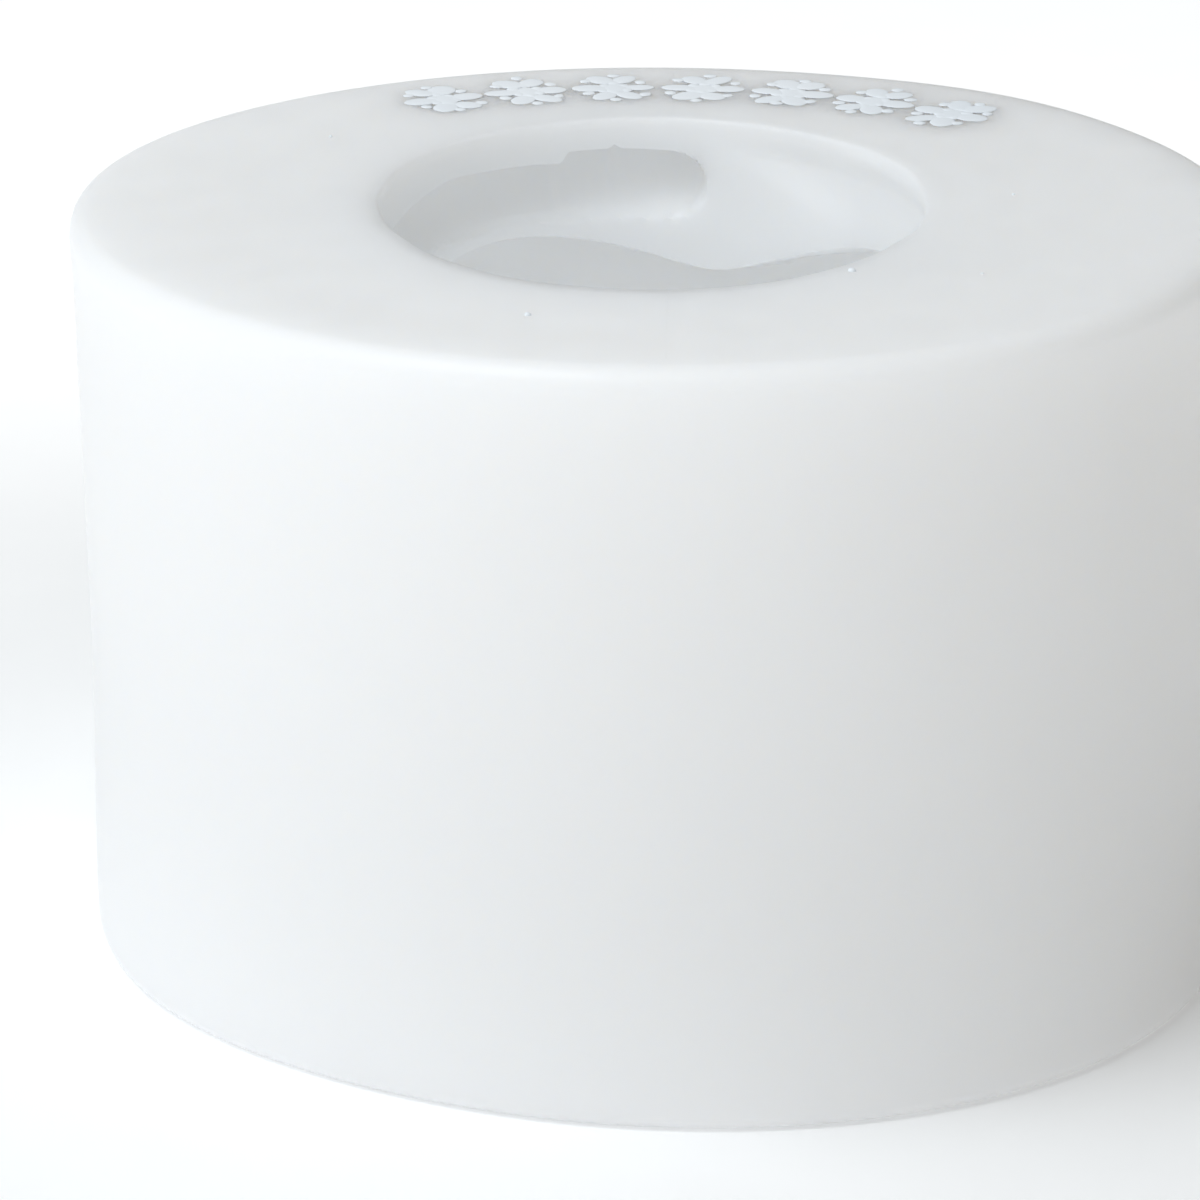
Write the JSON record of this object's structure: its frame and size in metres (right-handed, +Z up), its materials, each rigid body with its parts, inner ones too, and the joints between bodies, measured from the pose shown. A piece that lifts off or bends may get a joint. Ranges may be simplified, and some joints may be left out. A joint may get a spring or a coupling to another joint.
{
  "type": "resin casting mould",
  "caption": "Thick round silicone block mould with an oval pour opening, an undercut petal cavity and a cut back that opens on a front hinge.",
  "frame": {"origin": "middle of the flat base, on the surface that the mould stands on", "axes": "+Z up through the pour opening, +X to the right half, -Y to the front wall that is left uncut as the hinge"},
  "size_m": [0.092, 0.09, 0.0591],
  "materials": {
    "silicone": "satin"
  },
  "bodies": {
    "left_half": {"mould_half_left": "silicone", "hinge_web": "silicone"},
    "right_half": {"mould_half_right": "silicone"}
  },
  "joints": [
    {"name": "mould_opening", "type": "hinge", "parent": "left_half", "child": "right_half", "pos_m": [0, -0.0448, 0], "axis": [0, 0, -1], "range_deg": [0, 60], "stiffness_Nm_per_rad": 0.04, "deforming": ["hinge_web"]}
  ]
}
